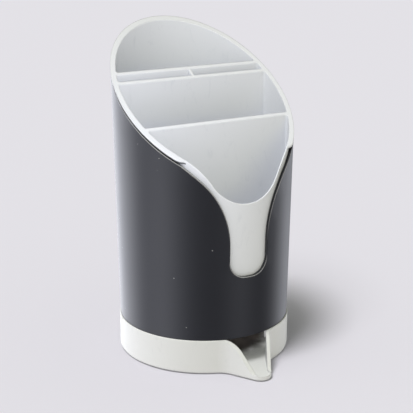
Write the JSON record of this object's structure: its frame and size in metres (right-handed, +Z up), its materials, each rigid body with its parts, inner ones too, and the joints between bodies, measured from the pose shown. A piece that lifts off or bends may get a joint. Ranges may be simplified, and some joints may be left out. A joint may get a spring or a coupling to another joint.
{
  "type": "cutlery drainer",
  "caption": "Round upright cutlery drainer: pale divided holder with a slanted rim and front scoop, in a tapered dark sleeve, on a drip tray with a pouring spout.",
  "frame": {"origin": "in the plane that the pads stand on, under the middle of the whole object's box; the round body's axis is 8.8 mm behind it, because the spout stands out at the front", "axes": "+Z up along the body's axis, -Y to the front where the spout and the scoop are, +X to the right as seen from the front"},
  "size_m": [0.1175, 0.1368, 0.2135],
  "materials": {
    "pale_plastic": "fine satin moulding",
    "slate_plastic": "satin moulding",
    "pad_rubber": "matt"
  },
  "bodies": {
    "base": {"drip_tray": "pale_plastic", "foot_front_left": "pad_rubber", "foot_front_right": "pad_rubber", "foot_rear_left": "pad_rubber", "foot_rear_right": "pad_rubber"},
    "sleeve": {"outer_sleeve": "slate_plastic"},
    "holder": {"cutlery_holder": "pale_plastic"}
  },
  "joints": [
    {"name": "sleeve_lift", "type": "slide", "parent": "base", "child": "sleeve", "axis": [0, 0, 1], "range_m": [0, 0.06]},
    {"name": "holder_lift", "type": "slide", "parent": "sleeve", "child": "holder", "axis": [0, 0, 1], "range_m": [0, 0.19]}
  ]
}
